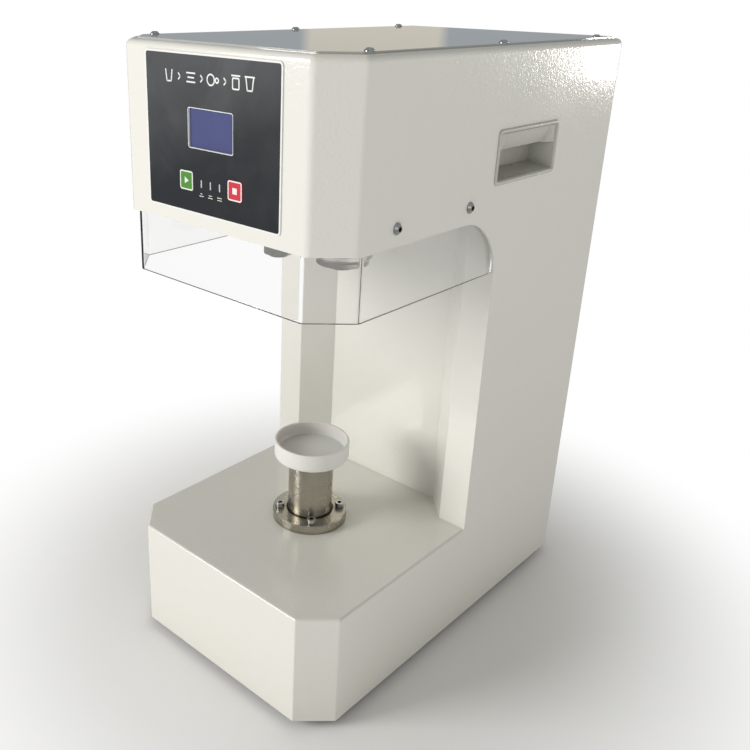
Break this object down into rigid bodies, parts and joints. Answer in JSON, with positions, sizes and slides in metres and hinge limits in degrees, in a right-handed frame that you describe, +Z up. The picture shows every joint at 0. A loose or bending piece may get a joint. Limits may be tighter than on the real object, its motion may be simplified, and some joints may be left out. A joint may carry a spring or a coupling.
{
  "type": "can and cup sealing machine",
  "caption": "Bench-top roller seaming machine with a C-shaped sheet casing, clear guard, lifting turntable tray, spinning chuck and swinging rollers that close can and cup lids.",
  "frame": {"origin": "on the standing surface under the middle of the bounding box", "axes": "+Z up, -Y towards the front with the control panel, +X to the operator's right"},
  "size_m": [0.2554, 0.4148, 0.5717],
  "materials": {
    "shell_paint": "gloss powder coat",
    "frame_steel": "satin",
    "plate_steel": "ground",
    "tool_steel": "polished",
    "tube_steel": "fine turned",
    "screw_steel": "satin",
    "bronze": "machined",
    "bearing_steel": "ground",
    "pulley_alloy": "machined",
    "belt_rubber": "matt",
    "foot_rubber": "matt",
    "clear_plastic": "clear",
    "tray_plastic": "satin, milky",
    "overlay_film": "fine texture",
    "display_glass": "gloss",
    "key_green": "satin",
    "key_red": "satin",
    "lamp_lens": "clear",
    "board_green": "satin",
    "supply_case": "brushed",
    "black_plastic": "fine grain",
    "motor_grey": "satin"
  },
  "bodies": {
    "machine": {"head_front_panel": "shell_paint", "base_shell": "shell_paint", "right_side_panel": "shell_paint", "left_side_panel": "shell_paint", "column_front_panel": "shell_paint", "top_cover": "shell_paint", "rear_cover": "shell_paint", "bottom_plate": "frame_steel", "rubber_feet": "foot_rubber", "cover_screws": "screw_steel", "guard_screws": "screw_steel", "right_handle": "shell_paint", "left_handle": "shell_paint", "clear_guard": "clear_plastic", "control_overlay": "overlay_film", "display_module": "display_glass", "indicator_lamps": "lamp_lens", "control_board": "board_green", "power_supply": "supply_case", "power_inlet": "black_plastic", "head_plate": "plate_steel", "spine_frame": "frame_steel", "lift_frame": "plate_steel", "deck_flange": "tube_steel", "flange_screws": "screw_steel", "guide_bush": "bronze", "guide_rod": "bearing_steel", "lift_belt": "belt_rubber", "lift_motor": "motor_grey", "main_motor": "motor_grey", "drive_belt": "belt_rubber", "bearing_housing": "plate_steel", "spindle_bearings": "bearing_steel", "plate_screws": "screw_steel", "arm_bushes": "bronze", "seaming_motor_bridges": "frame_steel", "seaming_motors": "motor_grey"},
    "lift": {"lift_tube": "tube_steel", "lift_nut": "bronze", "tray_bearings": "bearing_steel"},
    "turntable": {"tray": "tray_plastic", "tray_spindle": "plate_steel"},
    "lift_drive": {"lift_screw": "bearing_steel", "screw_pulley": "pulley_alloy"},
    "lift_motor_rotor": {"lift_motor_pulley": "pulley_alloy"},
    "seaming_spindle": {"spindle": "plate_steel", "spindle_pulley": "pulley_alloy", "chuck": "tool_steel", "chuck_screw": "screw_steel"},
    "main_motor_rotor": {"motor_pulley": "pulley_alloy"},
    "left_arm": {"left_roller_arm": "plate_steel", "left_roller_pin": "tool_steel"},
    "right_arm": {"right_roller_arm": "plate_steel", "right_roller_pin": "tool_steel"},
    "left_roller_body": {"left_roller": "tool_steel"},
    "right_roller_body": {"right_roller": "tool_steel"},
    "start_key_body": {"start_key": "key_green"},
    "stop_key_body": {"stop_key": "key_red"},
    "power_switch_body": {"power_switch": "black_plastic"}
  },
  "joints": [
    {"name": "tray_lift", "type": "slide", "parent": "machine", "child": "lift", "axis": [0, 0, 1], "range_m": [0, 0.03]},
    {"name": "tray_spin", "type": "hinge", "parent": "lift", "child": "turntable", "pos_m": [0, -0.07915, 0.185], "axis": [0, 0, 1], "continuous": true},
    {"name": "lift_screw_turn", "type": "hinge", "parent": "machine", "child": "lift_drive", "pos_m": [0, -0.07915, 0.024], "axis": [0, 0, 1], "range_deg": [-1085, 5]},
    {"name": "lift_motor_turn", "type": "hinge", "parent": "machine", "child": "lift_motor_rotor", "pos_m": [0, 0.07685, 0.024], "axis": [0, 0, 1], "range_deg": [-1735, 5]},
    {"name": "chuck_spin", "type": "hinge", "parent": "machine", "child": "seaming_spindle", "pos_m": [0, -0.07915, 0.43], "axis": [0, 0, 1], "continuous": true},
    {"name": "main_motor_spin", "type": "hinge", "parent": "machine", "child": "main_motor_rotor", "pos_m": [0, 0.11985, 0.46], "axis": [0, 0, 1], "continuous": true},
    {"name": "left_arm_swing", "type": "hinge", "parent": "machine", "child": "left_arm", "pos_m": [-0.062, -0.02115, 0.44], "axis": [0, 0, 1], "range_deg": [0, 5.8]},
    {"name": "right_arm_swing", "type": "hinge", "parent": "machine", "child": "right_arm", "pos_m": [0.062, -0.02115, 0.44], "axis": [0, 0, -1], "range_deg": [0, 3]},
    {"name": "left_roller_spin", "type": "hinge", "parent": "left_arm", "child": "left_roller_body", "pos_m": [-0.054, -0.07215, 0.405], "axis": [0, 0, 1], "continuous": true},
    {"name": "right_roller_spin", "type": "hinge", "parent": "right_arm", "child": "right_roller_body", "pos_m": [0.0475, -0.10455, 0.405], "axis": [0, 0, 1], "continuous": true},
    {"name": "start_key_press", "type": "slide", "parent": "machine", "child": "start_key_body", "axis": [0, 1, 0], "range_m": [0, 0.0005], "stiffness_N_per_m": 800, "springref_m": -0.0005},
    {"name": "stop_key_press", "type": "slide", "parent": "machine", "child": "stop_key_body", "axis": [0, 1, 0], "range_m": [0, 0.0005], "stiffness_N_per_m": 800, "springref_m": -0.0005},
    {"name": "power_switch_rock", "type": "hinge", "parent": "machine", "child": "power_switch_body", "pos_m": [0.062, 0.20035, 0.087], "axis": [1, 0, 0], "range_deg": [0, 12]}
  ],
  "couplings": [
    {"joint": "lift_screw_turn", "follows": "tray_lift", "rad_per_m": -628.32},
    {"joint": "lift_motor_turn", "follows": "tray_lift", "rad_per_m": -1005.3},
    {"joint": "main_motor_spin", "follows": "chuck_spin", "ratio": 1.4}
  ]
}
